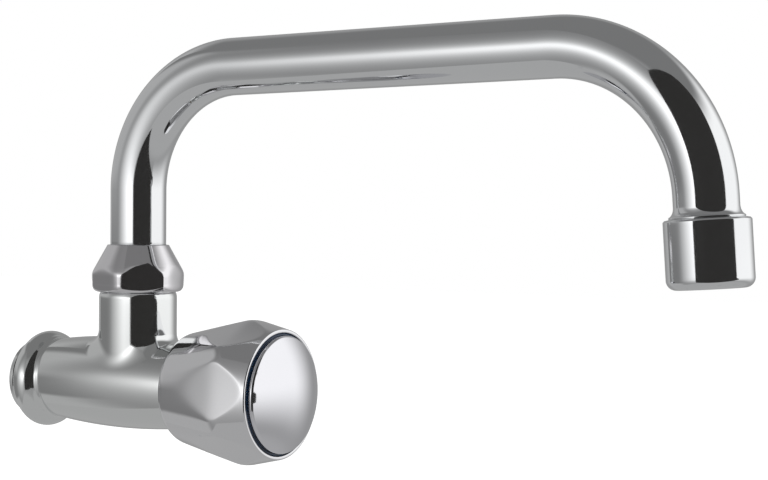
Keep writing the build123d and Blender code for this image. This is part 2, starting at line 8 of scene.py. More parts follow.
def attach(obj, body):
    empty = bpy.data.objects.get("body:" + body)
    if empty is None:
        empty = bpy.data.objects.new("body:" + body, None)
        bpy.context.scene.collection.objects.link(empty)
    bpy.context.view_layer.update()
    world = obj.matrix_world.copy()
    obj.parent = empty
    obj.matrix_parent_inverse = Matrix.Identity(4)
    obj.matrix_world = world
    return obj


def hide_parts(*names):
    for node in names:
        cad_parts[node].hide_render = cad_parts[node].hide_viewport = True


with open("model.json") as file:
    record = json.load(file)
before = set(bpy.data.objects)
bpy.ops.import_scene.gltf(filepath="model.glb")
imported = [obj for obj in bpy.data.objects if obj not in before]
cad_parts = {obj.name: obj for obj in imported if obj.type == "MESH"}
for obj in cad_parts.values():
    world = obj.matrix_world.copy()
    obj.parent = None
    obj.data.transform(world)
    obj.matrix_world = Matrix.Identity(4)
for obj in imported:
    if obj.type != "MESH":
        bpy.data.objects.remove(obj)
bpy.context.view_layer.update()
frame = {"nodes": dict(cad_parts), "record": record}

# Shapes are written in millimetres in the part's own frame: the origin is the centre of the
# inlet's end face, +Y points to the wall, +Z up the riser, and the spout reaches out along -Y.
MM = 0.001
TURN = 2 * np.pi
BODY_COLUMNS = 180

# Casting
RISER_Y = -45.0
BODY_FRONT_Y = -64.6
BODY_EDGE_ROUND = 0.35
BEAD_Y = -7.4
BEAD_R = 15.85
BEAD_ROUND = 4.3
BEAD_ROOT = 2.0
BEAD_ROOT_Y = -13.4
BELLY_Y = -42.0
BELLY_R = 14.43
BELLY_CURVE = 0.00243
SADDLE_RISE = 1.2
SADDLE_END_Y = -9.0
TAIL_R = 12.05
TAIL_GROOVE = (-2.9, -2.6, -1.8, -1.5)
TAIL_GROOVE_DEPTH = 0.3
TAIL_CHAMFER = 0.3
PIPE_THREAD_R = 9.32
PIPE_THREAD_PITCH = 1.814
PIPE_THREAD_DEPTH = 1.0
PIPE_TOOTH_STEEPNESS = 1.35
PIPE_THREAD_START = -1.3
PIPE_THREAD_END = -13.2
PIPE_THREAD_MOUTH = -0.9
PIPE_THREAD_RUNOUT = 1.2
PIPE_MOUTH_CHAMFER = 1.5
INLET_BORE_END = -14.0
PASSAGE_R = 7.5
PASSAGE_END = -33.0
CHAMBER_END_Y = -37.5
SEAT_Y = -39.0
SEAT_BORE_R = 5.5
SEAT_RING_R = 7.2
BONNET_BORE_R = 9.95
NECK_R = 12.6
NECK_RIM_Z = 28.3
NECK_RIM_INSET = 0.8
NECK_SHOULDER_Z = 30.25
NECK_THREAD_R = 10.4
NECK_TOP_Z = 40.0
NECK_TOP_CHAMFER = 0.8
NECK_ROOT_END = 3.0
NECK_ROOT_SIDE = 13.0
FOOT_OVERLAP = 0.6
FOOT_SINK = 0.012
FOOT_TUCK = (0.3, 0.6)
PORT_R = 8.05
PORT_BOTTOM_Z = 8.0

# Union nut
NUT_FLAT = 13.75
NUT_CORNER_R = 15.0
NUT_TURN = np.radians(-17.5)
NUT_BOTTOM_Z = 30.3
NUT_TOP_Z = 45.5
NUT_TOP_R = 9.9
NUT_CONE_SLOPE = 1.8
NUT_CORNER_SOFT = 0.8
NUT_ARCH_SOFT = 0.35
NUT_ARCH = (33.0, 39.0)
NUT_CONE_ROUND = 4.0
NUT_FOOT_R = 13.15
NUT_FOOT_HEIGHT = 2.2
NUT_FOOT_BULGE = (1.0, 0.35)
NUT_THREAD_R = 10.45
NUT_THREAD_DEPTH = 0.35
NUT_SHOULDER_Z = 43.4
NUT_MOUTH_R = 9.3

# Spout
TUBE_R = 9.0
TUBE_BORE_R = 8.0
TUBE_FOOT_Z = 42.35
SPOUT_Z = 101.5
SPOUT_REACH = 192.0
SPOUT_RISE = np.radians(1.0)
LEG_LEAN = np.radians(4.0)
RISER_BEND_R = 39.0
OUTLET_BEND_R = 45.0
FLARE_START = 45.6
FLARE_FULL = 48.3
FLARE_END = 48.9
FLARE_R = 10.4
FLARE_SWEEP = 0.94
FLARE_LIP = 0.2
BEND_STEP = np.radians(1.25)
LEG_NEAR = 9.0

# Aerator, measured down the leg from the corner of the spout's centreline
AERATOR_R = 12.0
AERATOR_TOP = 49.0
AERATOR_STEP = 0.5
AERATOR_BOTTOM = 68.0
AERATOR_ROUND = 2.8
AERATOR_MOUTH_R = 8.9
AERATOR_THREAD_R = 10.95
AERATOR_SEAT_R = 10.15
AERATOR_SEAT_START = 58.7
AERATOR_SEAT_END = 66.0

# Knob
KNOB_TURN = np.radians(6.0)
KNOB_BACK_Y = -64.9
KNOB_REAR_R = 17.04
KNOB_REAR_ROUND = 5.0
KNOB_MOUTH_R = 12.5
KNOB_SHOULDER_Y = -68.8
KNOB_HIP_Y = -90.3
KNOB_HIP_R = 22.95
KNOB_HIP_ROUND = 9.0
KNOB_LIP_R = 20.3
KNOB_LIP_ROUND = 0.45
KNOB_FRONT_Y = -101.85
FACET_COUNT = 6
FACET_CREST_Y = -89.5
FACET_DISTANCE = 20.75
FACET_REAR_SLOPE = 0.082
FACET_FRONT_SLOPE = -0.015
FACET_TURN_LENGTH = 5.0
FACET_ARCH = -0.006
FACET_EDGE_SOFT = (0.08, 0.5)
FACET_CREST_SHARE = 0.15
RING_SEAT_Y = -99.5
RING_FRONT_Y = -101.7
RING_R = 19.15
RING_CHAMFER = 0.4
RING_GAP = 0.05
RING_MOUTH = 0.25
RING_MOUTH_DEPTH = 0.1
CAP_R = 18.3
CAP_EDGE_Y = -103.25
CAP_EDGE_ROUND = 1.0
CAP_DOME = 4.15
CAP_WALL = 1.2
CAP_GAP = 0.1
WEB_FRONT_Y = -95.0
WEB_BACK_Y = -92.0
HUB_R = 7.5
SCREW_HOLE_R = 2.6
HUB_BACK_Y = -78.0
CAVITY_R = 17.0
CAVITY_Y = -84.0


# Shapes

def directions(along, right):
    """An axis, a direction square to it, and the third direction that makes up the frame."""
    along = np.array(along, float)
    right = np.array(right, float)
    return along, right, np.cross(along, right)


def arc(centre, radius, start, end, count=24):
    """Points at one radius from the centre, from one angle to another in radians."""
    angle = np.linspace(start, end, count)
    return np.array(centre, float) + radius * np.column_stack([np.cos(angle), np.sin(angle)])


def arc_through(first, middle, last, count=24):
    """Points on the circle through three points: the centre is where their perpendicular
    bisectors meet, and the angle runs from the first to the last past the middle one."""
    first, middle, last = (np.array(p, float) for p in (first, middle, last))
    sides = 2 * np.array([middle - first, last - first])
    squares = np.array([middle @ middle - first @ first, last @ last - first @ first])
    centre = np.linalg.solve(sides, squares)
    angles = np.unwrap([np.arctan2(*(p - centre)[::-1]) for p in (first, middle, last)])
    radius = np.linalg.norm(first - centre)
    return arc(centre, radius, angles[0], angles[2], count)


def rounded_corner(before, corner, after, radius, count=24):
    """The arc of this radius that touches both runs of a corner. Its centre lies on the
    corner's bisector, at the radius over the sine of half the corner's angle."""
    corner = np.array(corner, float)
    back = (np.array(before, float) - corner) / np.linalg.norm(np.array(before, float) - corner)
    ahead = (np.array(after, float) - corner) / np.linalg.norm(np.array(after, float) - corner)
    half = np.arccos(back @ ahead) / 2
    middle = (back + ahead) / np.linalg.norm(back + ahead)
    centre = corner + middle * radius / np.sin(half)
    reach = radius / np.tan(half)
    return arc_through(corner + back * reach, centre - middle * radius, corner + ahead * reach, count)


def softened(profile, width, closed=True, turn_step=np.radians(4), run_step=2.0):
    """The profile with its corners rounded. It is walked at even steps, each point becomes a
    mean of the points up to the width away, in which the nearest weigh most, and rows are kept
    where the direction has turned by turn_step or the walk has gone run_step further."""
    if closed:
        profile = np.vstack([profile, profile[:1]])
    steps = np.linalg.norm(np.diff(profile, axis=0), axis=1)
    walk = np.concatenate([[0], np.cumsum(steps)])
    count = int(walk[-1] / (width / 8))
    even = np.linspace(0, walk[-1], count, endpoint=not closed)
    points = np.column_stack([np.interp(even, walk, profile[:, k]) for k in range(2)])
    kernel = np.bartlett(17)
    kernel /= kernel.sum()
    reach = len(kernel) // 2
    if closed:
        padded = np.vstack([points[-reach:], points, points[:reach]])
    else:
        padded = np.vstack([
            2 * points[0] - points[reach:0:-1],
            points,
            2 * points[-1] - points[-2:-reach - 2:-1],
        ])
    smooth = np.column_stack([np.convolve(padded[:, k], kernel, "valid") for k in range(2)])
    ahead = np.roll(smooth, -1, axis=0) - smooth
    heading = np.unwrap(np.arctan2(ahead[:, 1], ahead[:, 0]))
    heading[-1] = heading[-2]
    turned = np.concatenate([[0], np.abs(np.diff(heading))])
    gone = np.linalg.norm(ahead, axis=1)
    measure = np.cumsum(turned / turn_step + np.concatenate([[0], gone[:-1]]) / run_step)
    keep = np.concatenate([[True], np.diff(np.floor(measure)) > 0])
    if not closed:
        keep[-1] = True
    return smooth[keep]


def turned_grid(profile, origin, axes, columns=192):
    """A profile of places along an axis and radii, carried round that axis: the point is the
    origin, plus the place along the axis, plus the radius in the direction of the angle."""
    along, right, up = axes
    angle = np.linspace(0, TURN, columns, endpoint=False)
    spoke = np.cos(angle)[:, None] * right + np.sin(angle)[:, None] * up
    return np.array(origin, float) + profile[:, None, :1] * along + profile[:, None, 1:] * spoke


def shell(grid, closed=True):
    """Points and faces of a closed skin over a grid of rows and columns. The columns join up
    round the skin. The rows join up too, or the first and last row shrink to one point each."""
    rows, columns = grid.shape[:2]
    index = np.arange(rows * columns).reshape(rows, columns)
    points = grid.reshape(-1, 3)
    if closed:
        below = index
        above = np.roll(index, -1, axis=0)
    else:
        index[0] = 0
        index[-1] = (rows - 1) * columns
        below = index[:-1]
        above = index[1:]
    faces = np.stack([below, np.roll(below, -1, 1), np.roll(above, -1, 1), above], -1).reshape(-1, 4)
    a, b, c, d = (points[faces[:, k]] for k in range(4))
    volume = np.sum(np.cross(b - a, c - a) * a) + np.sum(np.cross(c - a, d - a) * a)
    if volume < 0:
        faces = faces[:, ::-1]
    return points, faces


def piece(name, shells, finish, body, nodes):
    """One object from its shells, smooth, with its finish, riding on its body."""
    starts = np.cumsum([0] + [len(points) for points, _ in shells])
    points = np.vstack([points for points, _ in shells]) * MM
    faces = np.vstack([faces + start for (_, faces), start in zip(shells, starts)])
    used, faces = np.unique(faces, return_inverse=True)
    faces = faces.reshape(-1, 4)
    loops = [list(dict.fromkeys(face)) for face in faces.tolist()]
    mesh = bpy.data.meshes.new(name)
    mesh.from_pydata(points[used].tolist(), [], [loop for loop in loops if len(loop) > 2])
    mesh.shade_smooth()
    mesh.materials.append(finish)
    obj = bpy.data.objects.new(name, mesh)
    bpy.context.scene.collection.objects.link(obj)
    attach(obj, body)
    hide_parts(*nodes)
    return obj


def soft_least(*values, width):
    """The least of several values, rounded where they cross: minus the width times the
    logarithm of the sum of exp(-value / width)."""
    stack = np.stack(np.broadcast_arrays(*values))
    least = stack.min(axis=0)
    return least - width * np.log(np.exp((least - stack) / width).sum(axis=0))


def faceted_grid(profile, flat, arch, count, turn, origin, axes, width, inside=24, outside=16):
    """A turned profile with facets that are arched across: at a distance t from its middle
    line a facet lies arch * t^2 / 2 nearer to the axis. With the angle from the middle put in,
    that is a quadratic in the radius, and so is the cosine of the angle at which the facet
    meets the turned radius. Columns crowd towards that angle from both sides, so that the edge
    of the facet runs along the grid, and the radius is the soft least of the two."""
    along, right, up = axes
    place, radius = profile[:, :1], profile[:, 1:]
    distance = flat(place)
    drop = arch * radius ** 2
    root = np.sqrt(np.maximum(radius ** 2 + drop * (drop - 2 * distance), 0))
    half_pitch = np.pi / count
    smallest = np.radians(0.6)
    edge = np.arccos(np.clip((2 * distance - drop) / (radius + root), -1, 1))
    edge = np.clip(edge, smallest, half_pitch - smallest)
    crowd_in = -np.cos(np.linspace(0, np.pi, inside, endpoint=False))
    crowd_out = (1 - np.cos(np.linspace(0, np.pi, outside, endpoint=False))) / 2
    span = np.hstack([edge * crowd_in, edge + (2 * half_pitch - 2 * edge) * crowd_out])
    from_middle = np.where(span > half_pitch, span - 2 * half_pitch, span)
    cosine, sine = np.cos(from_middle), np.sin(from_middle)
    bent = np.sqrt(np.maximum(cosine ** 2 + 2 * arch * distance * sine ** 2, 0))
    limit = 2 * distance / (cosine + bent)
    reach = soft_least(np.broadcast_to(radius, limit.shape), limit, width=width(place))
    angle = np.hstack([span + turn + 2 * half_pitch * k for k in range(count)])
    reach = np.hstack([reach] * count)
    spoke = np.cos(angle)[..., None] * right + np.sin(angle)[..., None] * up
    return np.array(origin, float) + place[..., None] * along + reach[..., None] * spoke


# Barrel and neck

def barrel_section(y):
    """Half-width, half-height and centre height of the barrel's elliptical section at y."""
    under = BELLY_R - BELLY_CURVE * (y - BELLY_Y) ** 2
    along = np.clip((y - BODY_FRONT_Y) / (SADDLE_END_Y - BODY_FRONT_Y), 0, 1)
    rise = SADDLE_RISE * np.sin(np.pi / 2 * along)
    return under + rise / 4, under + rise / 2, rise / 2


def barrel_radius(y, angle):
    """Distance from the axis to the barrel's ellipse, at an angle from +X towards +Z: the
    positive root of the ellipse's equation for a point at that distance."""
    half_width, half_height, centre = barrel_section(y)
    a = (np.cos(angle) / half_width) ** 2 + (np.sin(angle) / half_height) ** 2
    b = -2 * centre * np.sin(angle) / half_height ** 2
    c = (centre / half_height) ** 2 - 1
    return (-b + np.sqrt(b * b - 4 * a * c)) / (2 * a)


def barrel_normal(x, y):
    """Height and outward direction of the barrel's top at x and y, from the slopes of the
    ellipse's equation."""
    def height(x_at, y_at):
        half_width, half_height, centre = barrel_section(y_at)
        return centre + half_height * np.sqrt(np.maximum(1 - (x_at / half_width) ** 2, 1e-4))

    half_width, half_height, centre = barrel_section(y)
    z = height(x, y)
    step = 0.01
    slope_y = (height(x, y + step) - height(x, y - step)) / (2 * step)
    across = x / half_width ** 2
    up = (z - centre) / half_height ** 2
    normal = np.stack([across, -slope_y * up, up], -1)
    return z, normal / np.linalg.norm(normal, axis=-1, keepdims=True)


def barrel_shell():
    """The barrel, bead and tail as one skin over rows along the axis and angles round it. At
    each angle a ball of the root's radius rests on the barrel and on the bead: its centre is
    one radius above the barrel, and the sum of both radii from the bead's centre."""
    angle = np.linspace(0, TURN, BODY_COLUMNS, endpoint=False)
    bead_centre_r = BEAD_R - BEAD_ROUND
    ball_r = barrel_radius(BEAD_ROOT_Y, angle) + BEAD_ROOT
    ball_y = BEAD_Y - np.sqrt((BEAD_ROUND + BEAD_ROOT) ** 2 - (ball_r - bead_centre_r) ** 2)
    touch = np.arctan2(ball_r - bead_centre_r, ball_y - BEAD_Y)

    def rows(y, r):
        return np.stack([y + 0 * r, r + 0 * y], -1)

    share = np.linspace(0, 1, 64)[:, None]
    y = (BODY_FRONT_Y + BODY_EDGE_ROUND) * (1 - share) + ball_y * share
    barrel = rows(y, barrel_radius(y, angle))
    sweep = np.linspace(0, 1, 16)[1:, None]
    turn = -np.pi / 2 + (touch - np.pi / 2) * sweep
    root = rows(ball_y + BEAD_ROOT * np.cos(turn), ball_r + BEAD_ROOT * np.sin(turn))
    tail_angle = np.arcsin((TAIL_R - bead_centre_r) / BEAD_ROUND)
    sweep = np.linspace(0, 1, 40)[1:, None]
    turn = touch * (1 - sweep) + tail_angle * sweep
    bead = rows(BEAD_Y + BEAD_ROUND * np.cos(turn), bead_centre_r + BEAD_ROUND * np.sin(turn))
    groove_r = TAIL_R - TAIL_GROOVE_DEPTH
    tail_line = softened(np.vstack([
        (TAIL_GROOVE[0] - 0.1, TAIL_R),
        (TAIL_GROOVE[0], TAIL_R),
        (TAIL_GROOVE[1], groove_r),
        (TAIL_GROOVE[2], groove_r),
        (TAIL_GROOVE[3], TAIL_R),
        (-TAIL_CHAMFER, TAIL_R),
        (0.0, TAIL_R - TAIL_CHAMFER),
        (0.0, PIPE_THREAD_R + PIPE_MOUTH_CHAMFER),
        (PIPE_THREAD_START, PIPE_THREAD_R + 0.1),
    ]), 0.12, closed=False)
    tail = tail_line[:, None] + np.zeros((1, BODY_COLUMNS, 1))
    thread_y = np.linspace(PIPE_THREAD_START, PIPE_THREAD_END, 84)[:, None]
    phase = (thread_y / PIPE_THREAD_PITCH + angle / TURN) % 1
    from_end = np.minimum(PIPE_THREAD_MOUTH - thread_y, thread_y - PIPE_THREAD_END)
    ramp = np.clip(from_end / PIPE_THREAD_RUNOUT, 0, 1)
    tooth = np.clip(0.5 + PIPE_TOOTH_STEEPNESS * (0.5 - np.abs(2 * phase - 1)), 0, 1)
    thread = rows(thread_y, PIPE_THREAD_R + PIPE_THREAD_DEPTH * ramp * tooth)
    bore_line = softened(np.vstack([
        (PIPE_THREAD_END, PIPE_THREAD_R),
        (INLET_BORE_END, PIPE_THREAD_R),
        (INLET_BORE_END, PASSAGE_R),
        (PASSAGE_END, PASSAGE_R),
        (PASSAGE_END, SEAT_BORE_R),
        (SEAT_Y, SEAT_BORE_R),
        (SEAT_Y, SEAT_RING_R),
        (CHAMBER_END_Y, SEAT_RING_R),
        (CHAMBER_END_Y, BONNET_BORE_R),
        (BODY_FRONT_Y, BONNET_BORE_R),
    ]), 0.12, closed=False)
    bore = bore_line[:, None] + np.zeros((1, BODY_COLUMNS, 1))
    front_r = barrel_radius(BODY_FRONT_Y, angle)[None]
    edge_turn = np.linspace(0, np.pi / 2, 6)[:-1, None]
    edge = rows(
        BODY_FRONT_Y + BODY_EDGE_ROUND * (1 - np.cos(edge_turn)),
        front_r - BODY_EDGE_ROUND * (1 - np.sin(edge_turn)),
    )
    meridian = np.concatenate([edge, barrel, root, bead, tail, thread[1:-1], bore])
    y, r = meridian[..., 0], meridian[..., 1]
    return shell(np.stack([r * np.cos(angle), y, r * np.sin(angle)], -1))


def neck_shell():
    """The neck as a skin over angles round the riser's axis and rows up it. Its foot is the
    fillet of a rolling ball, small where the neck crosses the barrel's top and large at the
    barrel's sides. The ball's centre stands off the neck and off the barrel by its radius,
    which a few rounds of stepping back along the barrel's normal find, and the fillet is the
    ball's arc from its touch on the neck to its touch on the barrel."""
    angle = np.linspace(0, TURN, BODY_COLUMNS, endpoint=False)
    out = np.stack([np.cos(angle), np.sin(angle), 0 * angle], -1)
    ball = NECK_ROOT_END + (NECK_ROOT_SIDE - NECK_ROOT_END) * np.cos(angle) ** 2
    centre = out * (NECK_R + ball)[:, None] + np.array([0, RISER_Y, 0])
    x, y = centre[:, 0], centre[:, 1]
    for _ in range(60):
        z, normal = barrel_normal(x, y)
        x = 0.5 * x + 0.5 * (centre[:, 0] - ball * normal[:, 0])
        y = 0.5 * y + 0.5 * (centre[:, 1] - ball * normal[:, 1])
    z, normal = barrel_normal(x, y)
    centre[:, 2] = z + ball * normal[:, 2]
    on_neck, on_barrel = -out, -normal
    opening = np.arccos(np.clip((on_neck * on_barrel).sum(-1), -1, 1))[:, None]
    share = np.linspace(0, 1, 28)[:, None, None]
    root = centre + ball[:, None] * (
        np.sin((1 - share) * opening) * on_neck + np.sin(share * opening) * on_barrel
    ) / np.sin(opening)
    ahead = root[-1] - root[-2]
    ahead /= np.linalg.norm(ahead, axis=-1, keepdims=True)
    past = root[-1] + FOOT_OVERLAP * ahead
    past[:, 2], normal = barrel_normal(past[:, 0], past[:, 1])
    past = past - FOOT_SINK * normal
    sunk = np.stack([past, past + FOOT_TUCK[0] * ahead - FOOT_TUCK[1] * normal])
    share = np.linspace(1, 0, 8)[1:-1, None]
    rise = centre[:, 2] + (NECK_RIM_Z - centre[:, 2]) * share
    wall = NECK_R * out + np.array([0, RISER_Y, 0]) + rise[..., None] * np.array([0, 0, 1.0])
    turn = np.linspace(np.pi / 2, 0, 14)[:, None]
    rim_rise = NECK_SHOULDER_Z - NECK_RIM_Z
    rim = np.hstack([
        NECK_RIM_Z + rim_rise * np.sin(turn),
        NECK_R - NECK_RIM_INSET * (1 - np.cos(turn)),
    ])
    top_line = softened(np.vstack([
        (PORT_BOTTOM_Z, PORT_R),
        (NECK_TOP_Z, PORT_R),
        (NECK_TOP_Z, NECK_THREAD_R - NECK_TOP_CHAMFER),
        (NECK_TOP_Z - NECK_TOP_CHAMFER, NECK_THREAD_R),
        (NECK_SHOULDER_Z, NECK_THREAD_R),
        rim,
        (NECK_RIM_Z - 0.05, NECK_R),
    ]), 0.15, closed=False)
    top = top_line[:, None, 1:] * out + np.array([0, RISER_Y, 0])
    top = top + top_line[:, None, :1] * np.array([0, 0, 1.0])
    return shell(np.concatenate([top, wall, root, sunk]))


# Nut

def nut_shell():
    """The nut as a turned profile with six flats. The profile is the rounded foot, the turned
    corners, the long cone and the bore."""
    cone_foot = (NUT_TOP_Z - NUT_CONE_SLOPE * (NUT_CORNER_R - NUT_TOP_R), NUT_CORNER_R)
    foot = arc_through(
        (NUT_BOTTOM_Z, NUT_FOOT_R),
        (NUT_BOTTOM_Z + NUT_FOOT_BULGE[0], NUT_CORNER_R - NUT_FOOT_BULGE[1]),
        (NUT_BOTTOM_Z + NUT_FOOT_HEIGHT, NUT_CORNER_R),
        12,
    )
    profile = softened(np.vstack([
        foot,
        rounded_corner((NUT_BOTTOM_Z, NUT_CORNER_R), cone_foot, (NUT_TOP_Z, NUT_TOP_R), NUT_CONE_ROUND),
        (NUT_TOP_Z, NUT_TOP_R),
        (NUT_TOP_Z, NUT_MOUTH_R),
        (NUT_SHOULDER_Z, NUT_MOUTH_R),
        (NUT_SHOULDER_Z, NUT_THREAD_R - NUT_THREAD_DEPTH),
        (NECK_TOP_Z, NUT_THREAD_R - NUT_THREAD_DEPTH),
        (NECK_TOP_Z, NUT_THREAD_R),
        (NUT_BOTTOM_Z, NUT_THREAD_R),
    ]), 0.22, turn_step=np.radians(3), run_step=0.18)
    axes = directions((0, 0, 1), (1, 0, 0))

    def softness(z):
        arched = np.clip((z - NUT_ARCH[0]) / np.ptp(NUT_ARCH), 0, 1)
        return NUT_CORNER_SOFT + (NUT_ARCH_SOFT - NUT_CORNER_SOFT) * arched

    def flat(z):
        return NUT_FLAT + 0 * z

    return shell(faceted_grid(profile, flat, 0, 6, NUT_TURN, (0, RISER_Y, 0), axes, softness))


# Spout

def spout_path():
    """The two corners of the spout's centreline, the directions of its reach and its leg, and
    how far each bend turns."""
    reach_dir = np.array([-np.cos(SPOUT_RISE), np.sin(SPOUT_RISE)])
    leg_dir = np.array([-np.sin(LEG_LEAN), -np.cos(LEG_LEAN)])
    riser_corner = np.array([RISER_Y, SPOUT_Z])
    leg_corner = riser_corner + SPOUT_REACH * reach_dir
    riser_turn = np.pi / 2 - SPOUT_RISE
    outlet_turn = np.pi / 2 + SPOUT_RISE - LEG_LEAN
    return riser_corner, leg_corner, reach_dir, leg_dir, riser_turn, outlet_turn


def spout_shell():
    """The spout as a ring carried along its centreline, down the outside and back up the bore.
    Each bend is an arc that touches both of its straight runs, so each straight stops short of
    the corner by the bend's radius times the tangent of half its turn. The flare's radius
    grows along an arc near the end."""
    riser_corner, leg_corner, reach_dir, leg_dir, riser_turn, outlet_turn = spout_path()
    riser_cut = RISER_BEND_R * np.tan(riser_turn / 2)
    outlet_cut = OUTLET_BEND_R * np.tan(outlet_turn / 2)
    up = np.array([0.0, 1.0])

    def straight(start, end, heading, step):
        count = max(int(np.linalg.norm(end - start) / step), 2)
        places = np.linspace(start, end, count)[:-1]
        return places, np.repeat(heading[None], len(places), 0)

    def bend(start, heading, radius, turn):
        swept = np.linspace(0, turn, int(turn / BEND_STEP))[:-1, None]
        square = np.array([-heading[1], heading[0]])
        places = start + radius * (np.sin(swept) * heading + (1 - np.cos(swept)) * square)
        return places, np.cos(swept) * heading + np.sin(swept) * square

    foot = np.array([RISER_Y, TUBE_FOOT_Z])
    riser_end = riser_corner - riser_cut * up
    reach_start = riser_corner + riser_cut * reach_dir
    reach_end = leg_corner - outlet_cut * reach_dir
    leg_start = leg_corner + outlet_cut * leg_dir
    flare_start = leg_corner + FLARE_START * leg_dir
    flare_end = leg_corner + FLARE_END * leg_dir
    runs = [
        straight(foot, riser_end, up, step=3.0),
        bend(riser_end, up, RISER_BEND_R, riser_turn),
        straight(reach_start, reach_end, reach_dir, step=3.0),
        bend(reach_end, reach_dir, OUTLET_BEND_R, outlet_turn),
        straight(leg_start, flare_start, leg_dir, step=0.4),
        straight(flare_start, flare_end, leg_dir, step=0.12),
    ]
    places = np.vstack([run[0] for run in runs] + [flare_end])
    headings = np.vstack([run[1] for run in runs] + [leg_dir])
    down_leg = (places - leg_corner) @ leg_dir
    on_leg = (places - leg_corner) @ reach_dir > -LEG_NEAR
    flare = np.clip((down_leg - FLARE_START) / (FLARE_FULL - FLARE_START), 0, 1) * on_leg
    flare = (1 - np.sqrt(1 - FLARE_SWEEP * flare ** 2)) / (1 - np.sqrt(1 - FLARE_SWEEP))
    outer = TUBE_R + (FLARE_R - TUBE_R) * flare
    angle = np.linspace(0, TURN, 192, endpoint=False)
    square = np.column_stack([-headings[:, 1], headings[:, 0]])

    def rings(at, out, radius):
        swing = (radius[:, None] * np.sin(angle))[..., None] * out[:, None]
        side = radius[:, None] * np.cos(angle)
        return np.stack([side, at[:, None, 0] + swing[..., 0], at[:, None, 1] + swing[..., 1]], -1)

    outside = rings(places, square, outer)
    lip_turn = np.linspace(0, np.pi / 2, 5)[:, None]
    lip_places = flare_end + FLARE_LIP * (np.sin(lip_turn) - 1) * leg_dir
    lip_r = FLARE_R - FLARE_LIP * (1 - np.cos(lip_turn[:, 0]))
    lip = rings(lip_places, np.repeat(square[-1:], len(lip_r), 0), lip_r)
    inside = rings(places[::-3], square[::-3], np.full(len(places[::-3]), TUBE_BORE_R))
    keep = (down_leg < FLARE_END - FLARE_LIP) | ~on_leg
    return shell(np.concatenate([outside[keep], lip, inside]))


def leg_axes():
    """Corner of the spout's centreline and the directions of the leg's own frame."""
    _, leg_corner, _, leg_dir, _, _ = spout_path()
    origin = (0, leg_corner[0], leg_corner[1])
    return origin, directions((0, leg_dir[0], leg_dir[1]), (1, 0, 0))


def aerator_shell():
    """The aerator's housing as a turned profile: a short step at the top, a plain wall, a
    rounded foot, the mouth and the threaded bore."""
    round_place = AERATOR_BOTTOM - AERATOR_ROUND
    round_r = AERATOR_R - AERATOR_ROUND
    profile = softened(np.vstack([
        (AERATOR_TOP, AERATOR_THREAD_R),
        (AERATOR_TOP, AERATOR_R - AERATOR_STEP),
        (AERATOR_TOP + AERATOR_STEP, AERATOR_R),
        arc((round_place, round_r), AERATOR_ROUND, np.pi / 2, 0, 14),
        (AERATOR_BOTTOM, AERATOR_MOUTH_R),
        (AERATOR_SEAT_END, AERATOR_MOUTH_R),
        (AERATOR_SEAT_END, AERATOR_SEAT_R),
        (AERATOR_SEAT_START, AERATOR_SEAT_R),
        (AERATOR_SEAT_START, AERATOR_THREAD_R),
    ]), 0.2, run_step=1.0)
    origin, axes = leg_axes()
    return shell(turned_grid(profile, origin, axes))


# Knob, ring and cap

def facet_line(place):
    """Distance of a facet's middle line from the axis, at a place along -Y: one slope behind
    the crest and another before it, joined by the soft least of the two lines."""
    off_crest = place + FACET_CREST_Y
    behind = FACET_DISTANCE + FACET_REAR_SLOPE * off_crest
    before = FACET_DISTANCE + FACET_FRONT_SLOPE * off_crest
    width = FACET_TURN_LENGTH * (FACET_REAR_SLOPE - FACET_FRONT_SLOPE) / 4
    return soft_least(behind, before, width=width)


def facet_softness(place):
    """A facet's edge is crisp at the front and melts into the cone at its tail."""
    tail = (place + FACET_CREST_Y) / (FACET_CREST_Y - KNOB_SHOULDER_Y) + FACET_CREST_SHARE
    tail = np.clip(tail, 0, 1)
    return FACET_EDGE_SOFT[0] + (FACET_EDGE_SOFT[1] - FACET_EDGE_SOFT[0]) * tail


def knob_shell():
    """The knob as a turned double cone with six crowned facets, hollow behind."""
    rear = (KNOB_BACK_Y, KNOB_REAR_R)
    hip = (KNOB_HIP_Y, KNOB_HIP_R)
    lip = (KNOB_FRONT_Y, KNOB_LIP_R)
    front_r = RING_R + RING_MOUTH
    profile = np.vstack([
        rounded_corner((KNOB_BACK_Y, KNOB_MOUTH_R), rear, hip, KNOB_REAR_ROUND, 20),
        rounded_corner(rear, hip, lip, KNOB_HIP_ROUND, 24),
        rounded_corner(hip, lip, (KNOB_FRONT_Y, front_r), KNOB_LIP_ROUND, 8),
        (KNOB_FRONT_Y, front_r),
        (KNOB_FRONT_Y + RING_MOUTH_DEPTH, RING_R + RING_GAP),
        (RING_SEAT_Y, RING_R + RING_GAP),
        (RING_SEAT_Y, CAP_R + CAP_GAP),
        (WEB_FRONT_Y, CAP_R + CAP_GAP),
        (WEB_FRONT_Y, SCREW_HOLE_R),
        (HUB_BACK_Y, SCREW_HOLE_R),
        (HUB_BACK_Y, HUB_R),
        (WEB_BACK_Y, HUB_R),
        (WEB_BACK_Y, CAVITY_R),
        (CAVITY_Y, CAVITY_R),
        (KNOB_SHOULDER_Y, KNOB_MOUTH_R),
        (KNOB_BACK_Y, KNOB_MOUTH_R),
    ])
    profile = softened(profile * np.array([-1, 1]), 0.25, run_step=0.6)
    axes = directions((0, -1, 0), (-1, 0, 0))
    return shell(faceted_grid(
        profile, facet_line, FACET_ARCH, FACET_COUNT, -KNOB_TURN, (0, 0, 0), axes, facet_softness,
    ))


